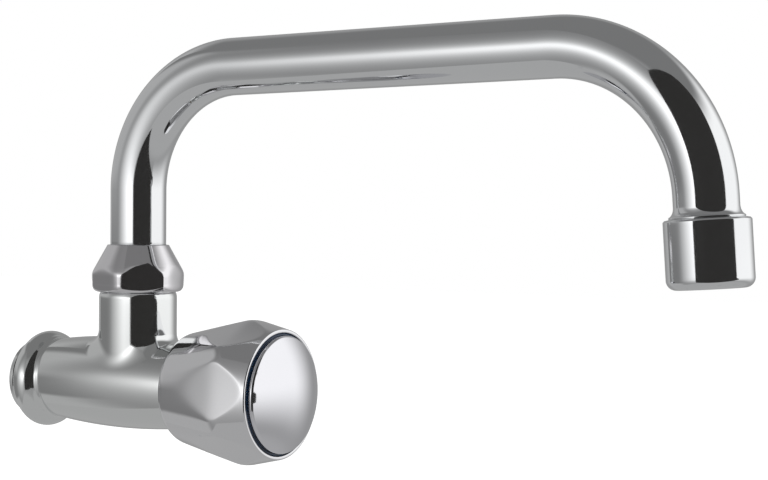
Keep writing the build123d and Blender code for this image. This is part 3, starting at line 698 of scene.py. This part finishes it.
def ring_shell():
    """The index ring as a turned band with a chamfered outer front edge."""
    profile = softened(np.vstack([
        (-RING_SEAT_Y, CAP_R + RING_GAP),
        (-RING_SEAT_Y, RING_R),
        (-RING_FRONT_Y - RING_CHAMFER, RING_R),
        (-RING_FRONT_Y, RING_R - RING_CHAMFER),
        (-RING_FRONT_Y, CAP_R + RING_GAP),
    ]), 0.1)
    return shell(turned_grid(profile, (0, 0, 0), directions((0, -1, 0), (1, 0, 0)), 256))


def cap_shell():
    """The cap as a turned profile: a ball's cap whose radius is half the sum of the squared
    rim radius over the dome's height and that height, with a skirt behind it."""
    ball_r = (CAP_R ** 2 + CAP_DOME ** 2) / (2 * CAP_DOME)
    rim = np.arcsin(CAP_R / ball_r)
    centre = (-CAP_EDGE_Y + CAP_DOME - ball_r, 0)
    inner_r = ball_r - CAP_WALL
    edge = np.array([-CAP_EDGE_Y, CAP_R])
    inwards = np.array([np.sin(rim), -np.cos(rim)])
    half = (np.pi / 2 + rim) / 2
    profile = softened(np.vstack([
        arc(centre, ball_r, 0, rim - CAP_EDGE_ROUND / np.tan(half) / ball_r, 60),
        rounded_corner(edge + inwards, edge, edge + np.array([-1.0, 0]), CAP_EDGE_ROUND, 20),
        (-WEB_FRONT_Y, CAP_R),
        (-WEB_FRONT_Y, CAP_R - CAP_WALL),
        arc(centre, inner_r, np.arcsin((CAP_R - CAP_WALL) / inner_r), 0, 30),
    ]), 0.12, closed=False, turn_step=np.radians(2), run_step=0.6)
    profile[0, 1] = profile[-1, 1] = 0
    return shell(turned_grid(profile, (0, 0, 0), directions((0, -1, 0), (1, 0, 0)), 256), closed=False)


# Finishes

def material(name):
    """A new node material with its Principled shader."""
    finish = bpy.data.materials.new(name)
    finish.use_nodes = True
    return finish, finish.node_tree, finish.node_tree.nodes["Principled BSDF"]


class Graph:
    """Short ways to add and join the nodes of one node tree."""

    def __init__(self, tree):
        self.tree = tree

    def node(self, kind, **settings):
        node = self.tree.nodes.new("ShaderNode" + kind)
        for name, value in settings.items():
            setattr(node, name, value)
        return node

    def put(self, socket, value):
        if isinstance(value, bpy.types.NodeSocket):
            self.tree.links.new(value, socket)
        else:
            socket.default_value = value

    def math(self, operation, *values, clamp=False):
        node = self.node("Math", operation=operation, use_clamp=clamp)
        for socket, value in zip(node.inputs, values):
            self.put(socket, value)
        return node.outputs[0]

    def dot(self, vector, direction):
        node = self.node("VectorMath", operation="DOT_PRODUCT")
        self.put(node.inputs[0], vector)
        node.inputs[1].default_value = direction
        return node.outputs["Value"]

    def rise(self, value, low, high):
        """A smooth step from 0 at low to 1 at high."""
        node = self.node("MapRange", interpolation_type="SMOOTHSTEP")
        for socket, setting in zip(node.inputs, (value, low, high, 0.0, 1.0)):
            self.put(socket, setting)
        return node.outputs[0]

    def band(self, value, low, low_soft, high, high_soft):
        """1 between low and high, with smooth edges this far to either side."""
        return self.math(
            "MULTIPLY",
            self.rise(value, low - low_soft, low + low_soft),
            self.math("SUBTRACT", 1.0, self.rise(value, high - high_soft, high + high_soft)),
        )

    def noise(self, place, scale, detail):
        """Smooth noise from 0 to 1 at a place, with this many cells in a metre."""
        node = self.node("TexNoise")
        self.put(node.inputs["Vector"], place)
        self.put(node.inputs["Scale"], scale)
        node.inputs["Detail"].default_value = detail
        return node.outputs["Fac"]

    def group(self, tree, **values):
        """A node group with these values in its named inputs."""
        node = self.node("Group", node_tree=tree)
        for name, value in values.items():
            self.put(node.inputs[name], value)
        return node.outputs

    def blend(self, share, start, end):
        """A colour between two colours."""
        node = self.node("Mix", data_type="RGBA")
        self.put(node.inputs["Factor"], share)
        for socket, colour in zip(node.inputs[6:8], (start, end)):
            socket.default_value = (*colour, 1)
        return node.outputs[2]

    def bump(self, shader, height, depth):
        """Surface relief of this depth in metres, in the shader's normal."""
        node = self.node("Bump")
        node.inputs["Distance"].default_value = depth
        self.put(node.inputs["Height"], height)
        self.put(shader.inputs["Normal"], node.outputs["Normal"])

    def mix(self, share, low, high):
        """A number between two numbers."""
        node = self.node("Mix", data_type="FLOAT")
        for socket, value in zip(node.inputs[:1] + node.inputs[2:4], (share, low, high)):
            self.put(socket, value)
        return node.outputs[0]


def new_group(name, values, masks):
    """An empty node group. Its first input is a place in metres, the others are numbers."""
    group = bpy.data.node_groups.new(name, "ShaderNodeTree")
    group.interface.new_socket("Place", in_out="INPUT", socket_type="NodeSocketVector")
    for socket, value in values.items():
        made = group.interface.new_socket(socket, in_out="INPUT", socket_type="NodeSocketFloat")
        made.default_value = value
    for socket in masks:
        group.interface.new_socket(socket, in_out="OUTPUT", socket_type="NodeSocketFloat")
    graph = Graph(group)
    return group, graph, group.nodes.new("NodeGroupInput").outputs, group.nodes.new("NodeGroupOutput").inputs


# How many cells of noise a metre holds along a hairline and across it
STREAK = np.array([110, 4200, 4200])


def hairlines_group():
    """Fine scratches left by wiping: three families of long thin streaks of noise, each turned
    its own way, of which only the crests are kept, broken up by a slower noise."""
    inputs = {"Fineness": 1.0, "Cover": 0.5}
    group, graph, given, out = new_group("hairline_scratches", inputs, ["Scratches"])
    total = 0.0
    for turn, stretch in (((0.3, 0.9, 0.2), 1.0), ((1.2, 0.1, 2.2), 0.7), ((0.8, 2.0, 1.3), 1.4)):
        turned = graph.node("VectorRotate", rotation_type="EULER_XYZ")
        graph.put(turned.inputs["Vector"], given["Place"])
        turned.inputs["Rotation"].default_value = turn
        streak = graph.node("VectorMath", operation="MULTIPLY")
        graph.put(streak.inputs[0], turned.outputs[0])
        streak.inputs[1].default_value = stretch * STREAK
        lines = graph.noise(streak.outputs[0], given["Fineness"], 1)
        patches = graph.noise(given["Place"], 190 * stretch, 2)
        crests = graph.rise(lines, 0.70, 0.78)
        kept = graph.math("MULTIPLY", crests, graph.rise(patches, 0.48, 0.62))
        total = graph.math("MAXIMUM", total, kept)
    graph.put(out["Scratches"], graph.math("MULTIPLY", total, given["Cover"]))
    return group


def smudges_group():
    """Soft marks of water and hands, as a slow noise with a finer one in it, and dried drops
    as the rims of scattered cells."""
    inputs = {"Size": 30.0, "Drops": 0.3}
    group, graph, given, out = new_group("water_smudges", inputs, ["Smudge", "Drops"])
    slow = graph.noise(given["Place"], given["Size"], 3)
    graph.put(out["Smudge"], graph.rise(slow, 0.40, 0.72))
    cells = graph.node("TexVoronoi", feature="F1")
    graph.put(cells.inputs["Vector"], given["Place"])
    cells.inputs["Scale"].default_value = 260
    rim = graph.band(cells.outputs["Distance"], 0.10, 0.02, 0.15, 0.02)
    few = graph.rise(graph.noise(given["Place"], 75, 1), 0.60, 0.66)
    drops = graph.math("MULTIPLY", rim, few)
    graph.put(out["Drops"], graph.math("MULTIPLY", drops, given["Drops"]))
    return group


def edge_wear_group():
    """Wear along sharp edges, where the mesh is most pointed, broken up by noise."""
    group, graph, given, out = new_group("edge_wear", {"Reach": 0.05, "Amount": 1.0}, ["Wear"])
    pointed = graph.node("NewGeometry").outputs["Pointiness"]
    edge = graph.rise(pointed, 0.52, graph.math("ADD", 0.52, given["Reach"]))
    patches = graph.rise(graph.noise(given["Place"], 600, 3), 0.42, 0.60)
    worn = graph.math("MULTIPLY", edge, patches)
    graph.put(out["Wear"], graph.math("MULTIPLY", worn, given["Amount"]))
    return group


def turning_group():
    """Marks of a lathe tool: noise along one axis only, so that it makes rings round it."""
    group, graph, given, out = new_group("turning_marks", {"Pitch": 5000.0}, ["Marks"])
    noise = graph.node("TexNoise", noise_dimensions="1D")
    split = graph.node("SeparateXYZ")
    graph.put(split.inputs[0], given["Place"])
    graph.put(noise.inputs["W"], graph.math("MULTIPLY", split.outputs["Z"], given["Pitch"]))
    noise.inputs["Scale"].default_value = 1
    noise.inputs["Detail"].default_value = 2
    graph.put(out["Marks"], noise.outputs["Fac"])
    return group


def new_finish(name):
    """A node material, its Principled shader, its graph and the place on the piece."""
    finish, tree, shader = material(name)
    graph = Graph(tree)
    return finish, shader, graph, graph.node("TexCoord").outputs["Object"]


hairlines = hairlines_group()
smudges = smudges_group()
edge_wear = edge_wear_group()
turning_marks = turning_group()
CHROME = (0.80, 0.81, 0.82)
CHROME_SHADE = (0.765, 0.775, 0.79)
BRASS = (0.72, 0.53, 0.26)
BRASS_STAIN = (0.50, 0.34, 0.15)
STEEL = (0.60, 0.60, 0.61)
STEEL_HAZE = (0.50, 0.50, 0.50)


def chrome_finish(name, tint=CHROME, roughness=0.045, waviness=0.0, wave_scale=90.0):
    """Polished plate: a mirror whose roughness rises a little under smudges, dried drops,
    hairlines and along edges, over a slightly wavy polished surface."""
    finish, shader, graph, place = new_finish(name)
    marks = graph.group(smudges, Place=place, Size=28.0, Drops=0.35)
    scratches = graph.group(hairlines, Place=place, Fineness=1.0, Cover=0.6)["Scratches"]
    wear = graph.group(edge_wear, Place=place, Reach=0.06, Amount=0.8)["Wear"]
    shade = tuple(part * s / c for part, s, c in zip(tint, CHROME_SHADE, CHROME))
    dull = graph.math("ADD", graph.math("MULTIPLY", marks["Smudge"], 0.45), wear, clamp=True)
    graph.put(shader.inputs["Base Color"], graph.blend(dull, tint, shade))
    shader.inputs["Metallic"].default_value = 1
    rough = graph.math("MULTIPLY_ADD", marks["Smudge"], 0.035, roughness)
    rough = graph.math("MULTIPLY_ADD", marks["Drops"], 0.12, rough)
    rough = graph.math("MULTIPLY_ADD", scratches, 0.10, rough)
    graph.put(shader.inputs["Roughness"], graph.math("MULTIPLY_ADD", wear, 0.12, rough))
    waves = graph.noise(place, wave_scale, 2)
    height = graph.math("MULTIPLY_ADD", waves, waviness, graph.math("MULTIPLY", scratches, -0.5))
    graph.bump(shader, height, 2e-6)
    return finish


def turned_brass(name, axis):
    """Machined brass, dulled in patches, with tool marks in rings round the axis."""
    finish, shader, graph, place = new_finish(name)
    turned = graph.node("CombineXYZ")
    graph.put(turned.inputs["Z"], graph.dot(place, axis))
    marks = graph.group(turning_marks, Place=turned.outputs[0], Pitch=5200.0)["Marks"]
    stain = graph.group(smudges, Place=place, Size=160.0, Drops=0.2)["Smudge"]
    graph.put(shader.inputs["Base Color"], graph.blend(stain, BRASS, BRASS_STAIN))
    shader.inputs["Metallic"].default_value = 1
    rough = graph.math("MULTIPLY_ADD", stain, 0.16, 0.22)
    graph.put(shader.inputs["Roughness"], graph.math("MULTIPLY_ADD", marks, 0.10, rough))
    graph.bump(shader, marks, 12e-6)
    return finish


def satin_steel():
    """Stainless steel with a short brushed grain."""
    finish, shader, graph, place = new_finish("satin_steel")
    grain = graph.group(hairlines, Place=place, Fineness=2.0, Cover=1.0)["Scratches"]
    haze = graph.group(smudges, Place=place, Size=240.0, Drops=0.2)["Smudge"]
    graph.put(shader.inputs["Base Color"], graph.blend(haze, STEEL, STEEL_HAZE))
    shader.inputs["Metallic"].default_value = 1
    rough = graph.math("MULTIPLY_ADD", haze, 0.12, 0.26)
    graph.put(shader.inputs["Roughness"], graph.math("MULTIPLY_ADD", grain, 0.10, rough))
    graph.bump(shader, grain, 8e-6)
    return finish


def moulded(name, tint, shade, roughness, grain_scale, depth):
    """Rubber, plastic or fibre: a fine grain in the surface, and a slow drift of the colour."""
    finish, shader, graph, place = new_finish(name)
    drift = graph.group(smudges, Place=place, Size=170.0, Drops=0.0)["Smudge"]
    grain = graph.noise(place, grain_scale, 3)
    share = graph.math("MULTIPLY_ADD", grain, 0.5, graph.math("MULTIPLY", drift, 0.5))
    graph.put(shader.inputs["Base Color"], graph.blend(share, tint, shade))
    graph.put(shader.inputs["Roughness"], graph.math("MULTIPLY_ADD", grain, 0.16, roughness - 0.08))
    graph.bump(shader, grain, depth)
    return finish


tube_chrome = chrome_finish("tube_chrome")
cast_chrome = chrome_finish("cast_chrome", (0.80, 0.812, 0.81), 0.06, 6.0, 70.0)
nut_chrome = chrome_finish("nut_chrome", (0.80, 0.79, 0.81), 0.06, 3.0, 160.0)
knob_chrome = chrome_finish("knob_chrome", (0.80, 0.80, 0.815), 0.06, 6.0, 90.0)
cap_chrome = chrome_finish("cap_chrome", (0.80, 0.80, 0.83), 0.05)
ring_blue = moulded("index_blue", (0.003, 0.020, 0.052), (0.002, 0.013, 0.036), 0.24, 900, 0.5e-6)
white_acetal = moulded("white_acetal", (0.78, 0.78, 0.74), (0.70, 0.70, 0.66), 0.38, 1400, 10e-6)
grey_grid = moulded("grid_plastic", (0.62, 0.62, 0.61), (0.54, 0.54, 0.52), 0.42, 1500, 10e-6)
black_rubber = moulded("black_rubber", (0.022, 0.022, 0.023), (0.036, 0.035, 0.034), 0.62, 2200, 20e-6)
red_fibre = moulded("red_fibre", (0.42, 0.10, 0.06), (0.26, 0.055, 0.035), 0.80, 2600, 40e-6)
spring_steel = satin_steel()
body_brass = turned_brass("headwork_brass", (0, 1, 0))
riser_brass = turned_brass("ferrule_brass", (0, 0, 1))

SLOT_FINISH = {
    "chrome": tube_chrome,
    "brass": body_brass,
    "steel": spring_steel,
    "rubber": black_rubber,
    "acetal": white_acetal,
    "grid_plastic": grey_grid,
    "fibre": red_fibre,
    "index_blue": ring_blue,
}
# The tube was plated with the nipple in it, and a line of the nipple shows over the aerator
NODE_FINISH = {"spout_ferrule": riser_brass, "spout_nipple": tube_chrome}
for subpart in frame["record"]["subparts"]:
    node_name = subpart["node"]
    node_mesh = frame["nodes"][node_name].data
    node_finish = NODE_FINISH.get(node_name, SLOT_FINISH[subpart["material_slot"]])
    if not node_mesh.materials:
        node_mesh.materials.append(node_finish)
    for index in range(len(node_mesh.materials)):
        node_mesh.materials[index] = node_finish

piece("tap_body", [barrel_shell(), neck_shell()], cast_chrome, "body", ["body_casting"])
piece("nut", [nut_shell()], nut_chrome, "body", ["union_nut"])
piece("spout", [spout_shell()], tube_chrome, "spout", ["spout_tube"])
piece("aerator_case", [aerator_shell()], tube_chrome, "spout", ["aerator_housing"])
piece("knob_body", [knob_shell()], knob_chrome, "handle", ["knob"])
piece("blue_ring", [ring_shell()], ring_blue, "handle", ["index_ring"])
piece("knob_cap", [cap_shell()], cap_chrome, "handle", ["cap_disc"])

# Camera, fitted to the photograph: bearing, tilt and roll in degrees, place in metres
YAW, PITCH, ROLL = np.radians([-58.857, -1.142, 0.413])
CAMERA_PLACE = (-0.46672, -0.42047, 0.05943)
CAMERA_LENS = 85.48
SENSOR_WIDTH = 36.0
ahead_level = np.array([-np.sin(YAW), np.cos(YAW), 0])
level_right = np.array([np.cos(YAW), np.sin(YAW), 0])
forward = np.cos(PITCH) * ahead_level + np.array([0, 0, np.sin(PITCH)])
towards_camera = -ahead_level
level_up = np.cross(level_right, forward)


def place_object(name, data, columns, place):
    """An object whose own X, Y and Z point along three directions, at a place."""
    obj = bpy.data.objects.new(name, data)
    bpy.context.scene.collection.objects.link(obj)
    pose = Matrix.Identity(4)
    for column, direction in enumerate(columns):
        pose.col[column][:3] = direction
    pose.col[3][:3] = place
    obj.matrix_world = pose
    return obj


camera_data = bpy.data.cameras.new("photo_view")
camera_data.sensor_width = SENSOR_WIDTH
camera_data.lens = CAMERA_LENS
rolled_right = np.cos(ROLL) * level_right + np.sin(ROLL) * level_up
rolled_up = np.cos(ROLL) * level_up - np.sin(ROLL) * level_right
camera_columns = (rolled_right, rolled_up, -forward)
bpy.context.scene.camera = place_object("photo_view", camera_data, camera_columns, CAMERA_PLACE)
bpy.context.scene.view_settings.view_transform = "Standard"

# Studio: tones of the light tent's walls, where 1 is white
ROOF = 0.21
BACK_WALL = 0.34
TABLE = 0.43
DIM_WALL = 0.17
PALE_WALL = 0.47
WHITE_WALL = 1.12


def light_tent():
    """The world as the inside of a light tent, by bearing from the camera and height in
    degrees: a grey back with a dim and a pale wall in it, a white wall at the right, a grey
    roof and a paler table. The camera itself sees white."""
    world = bpy.data.worlds.new("light_tent")
    bpy.context.scene.world = world
    world.use_nodes = True
    tent = Graph(world.node_tree)
    ray = tent.node("TexCoord").outputs["Generated"]
    bearing = tent.math("ARCTAN2", tent.dot(ray, level_right), tent.dot(ray, towards_camera))
    bearing = tent.math("DEGREES", bearing)
    height = tent.math("DEGREES", tent.math("ARCSINE", tent.dot(ray, (0, 0, 1))))
    walls = tent.mix(tent.band(bearing, -112, 14, -93, 14), BACK_WALL, DIM_WALL)
    walls = tent.mix(tent.band(bearing, -152, 12, -124, 12), walls, PALE_WALL)
    walls = tent.mix(tent.rise(height, 34, 50), walls, ROOF)
    walls = tent.mix(tent.rise(height, -22, -36), walls, TABLE)
    bearings, heights = tent.band(bearing, 60, 4, 130, 20), tent.band(height, -14, 16, 42, 10)
    walls = tent.mix(tent.math("MULTIPLY", bearings, heights), walls, WHITE_WALL)
    walls = tent.mix(tent.node("LightPath").outputs["Is Camera Ray"], walls, 1.0)
    tent.put(world.node_tree.nodes["Background"].inputs["Color"], walls)


def stage_piece(name, mesh_points, finish):
    """One flat face of the studio, not of the object."""
    mesh = bpy.data.meshes.new(name)
    mesh.from_pydata(np.array(mesh_points, float).tolist(), [], [list(range(len(mesh_points)))])
    mesh.materials.append(finish)
    obj = bpy.data.objects.new(name, mesh)
    bpy.context.scene.collection.objects.link(obj)
    return obj


def mirror_only(obj):
    """Chrome mirrors this piece of the studio, and it neither shows nor shades otherwise."""
    obj.visible_camera = False
    obj.visible_diffuse = False
    obj.visible_shadow = False


def stage_finish(name, colour, strength):
    """A matt finish of the studio that glows a little."""
    finish, tree, shader = material(name)
    shader.inputs["Base Color"].default_value = (*colour, 1)
    shader.inputs["Roughness"].default_value = 1
    shader.inputs["Specular IOR Level"].default_value = 0
    shader.inputs["Emission Strength"].default_value = strength
    return finish, tree, shader


# The tent's left wall is near enough to the tap to be its own sheet
SHEET_YAW = np.radians(-76.9)
SHEET_DISTANCE = 0.686
SHEET_SPAN = (-1.3, 1.3)
SHEET_RISE = (-0.75, 1.1)
# The sheet's front part glows. The glow is strongest at a height, spreads above and below it,
# and fades in along the sheet. CLOTH is the sheet's own tone above and below that height
GLOW_RISE = 0.145
GLOW_SPREAD = (0.175, 0.24)
GLOW_TURN = 0.1
GLOW_FADE = (-0.185, 0.77)
GLOW = 1.34
CLOTH = (0.221, 0.278)
# The rear part's tones from its foot up, and the heights between which each passes into the
# next. The last passes into the roof's. SEAM is where the rear part passes into the front
REAR_TONES = (0.45, 0.218, 0.458)
REAR_STEPS = ((-0.46, -0.36), (-0.028, 0.154), (0.661, 0.904))
SEAM = (-0.286, 0.122)


def tent_left_wall():
    """A lit sheet. Its coordinates run along the wall and up it from the point nearest to the
    origin, and the glow falls off as 1 / (1 + d^2) at d spreads from its height."""
    out_dir = np.sin(SHEET_YAW) * level_right + np.cos(SHEET_YAW) * towards_camera
    along_dir = np.cos(SHEET_YAW) * level_right - np.sin(SHEET_YAW) * towards_camera
    finish, tree, shader = stage_finish("tent_wall", (0, 0, 0), 1)
    sheet = Graph(tree)
    place = sheet.node("TexCoord").outputs["Object"]
    along = sheet.dot(place, along_dir)
    rise = sheet.dot(place, (0, 0, 1))
    above = sheet.rise(rise, GLOW_RISE - GLOW_TURN, GLOW_RISE + GLOW_TURN)
    spread = sheet.mix(above, GLOW_SPREAD[1], GLOW_SPREAD[0])
    offset = sheet.math("DIVIDE", sheet.math("SUBTRACT", rise, GLOW_RISE), spread)
    fall = sheet.math("DIVIDE", GLOW, sheet.math("MULTIPLY_ADD", offset, offset, 1.0))
    glow = sheet.math("MULTIPLY", fall, sheet.rise(along, *GLOW_FADE))
    front_part = sheet.math("ADD", sheet.mix(above, CLOTH[1], CLOTH[0]), glow)
    rear_part = REAR_TONES[0]
    for heights, next_tone in zip(REAR_STEPS, (*REAR_TONES[1:], ROOF)):
        rear_part = sheet.mix(sheet.rise(rise, *heights), rear_part, next_tone)
    tone = sheet.mix(sheet.rise(along, *SEAM), rear_part, front_part)
    sheet.put(shader.inputs["Emission Color"], tone)
    foot = out_dir * SHEET_DISTANCE
    corners = [
        foot + along_dir * SHEET_SPAN[i] + np.array([0, 0, SHEET_RISE[k]])
        for i, k in ((0, 0), (1, 0), (1, 1), (0, 1))
    ]
    mirror_only(stage_piece("tent_left_wall", corners, finish))


# Plan of the tent's open front, and its outline as shares along it and heights in metres
OPENING_LEFT = np.array([-0.314, -0.148])
OPENING_RIGHT = np.array([0.010, -0.840])
OPENING_ARCH = (
    (0.0, -0.14), (0.0, 0.10), (0.14, 0.29), (0.31, 0.45), (0.51, 0.62), (0.68, 0.71),
    (0.85, 0.74), (1.0, 0.68), (1.0, 0.04), (1.35, -0.03), (1.35, -0.14),
)


def tent_opening():
    """The dark room beyond the tent's open front, which the chrome mirrors as a black arch.
    The camera looks in through it."""
    finish, _, shader = stage_finish("dark_room", (0.02, 0.02, 0.02), 0.02)
    shader.inputs["Emission Color"].default_value = (1.0, 0.95, 0.9, 1)
    arch = np.array(OPENING_ARCH)
    plan = OPENING_LEFT + arch[:, :1] * (OPENING_RIGHT - OPENING_LEFT)
    mirror_only(stage_piece("tent_opening", np.column_stack([plan, arch[:, 1]]), finish))


FLOOR_Z = -0.30
FLOOR_REACH = 6.0
FLOOR_LIFT = 0.85


def pale_floor():
    """A floor well below the tap, which a wall carries. Diffuse light keeps the shadow on it,
    the camera sees it lifted to the white of the background, and from below it is clear."""
    finish, tree, shader = stage_finish("floor_paper", (0.8, 0.8, 0.8), 0)
    graph = Graph(tree)
    seen = graph.node("LightPath").outputs["Is Camera Ray"]
    shader.inputs["Emission Color"].default_value = (1, 1, 1, 1)
    graph.put(shader.inputs["Emission Strength"], graph.math("MULTIPLY", seen, FLOOR_LIFT))
    one_sided = graph.node("MixShader")
    graph.put(one_sided.inputs[0], graph.node("NewGeometry").outputs["Backfacing"])
    graph.put(one_sided.inputs[1], shader.outputs[0])
    graph.put(one_sided.inputs[2], graph.node("BsdfTransparent").outputs[0])
    graph.put(tree.nodes["Material Output"].inputs["Surface"], one_sided.outputs[0])
    turns = ((-1, -1), (1, -1), (1, 1), (-1, 1))
    corners = [(x * FLOOR_REACH, y * FLOOR_REACH, FLOOR_Z) for x, y in turns]
    floor = stage_piece("floor", corners, finish)
    floor.visible_glossy = False


def soft_lamp(name, place, size, power):
    """A square area lamp at a place, facing the middle of the tap. Mirrors don't show it."""
    lamp_data = bpy.data.lights.new(name, "AREA")
    lamp_data.size = size
    lamp_data.energy = power
    back = np.array(place, float) - np.array([0, -0.12, 0])
    back /= np.linalg.norm(back)
    side = np.cross((0, 0, 1), back)
    side /= np.linalg.norm(side)
    lamp = place_object(name, lamp_data, (side, np.cross(back, side), back), place)
    lamp.visible_glossy = False


light_tent()
tent_left_wall()
tent_opening()
pale_floor()
soft_lamp("key_lamp", (-0.7, -0.5, 1.1), 0.9, 12)
soft_lamp("fill_lamp", (0.9, -0.9, 0.8), 1.2, 8)
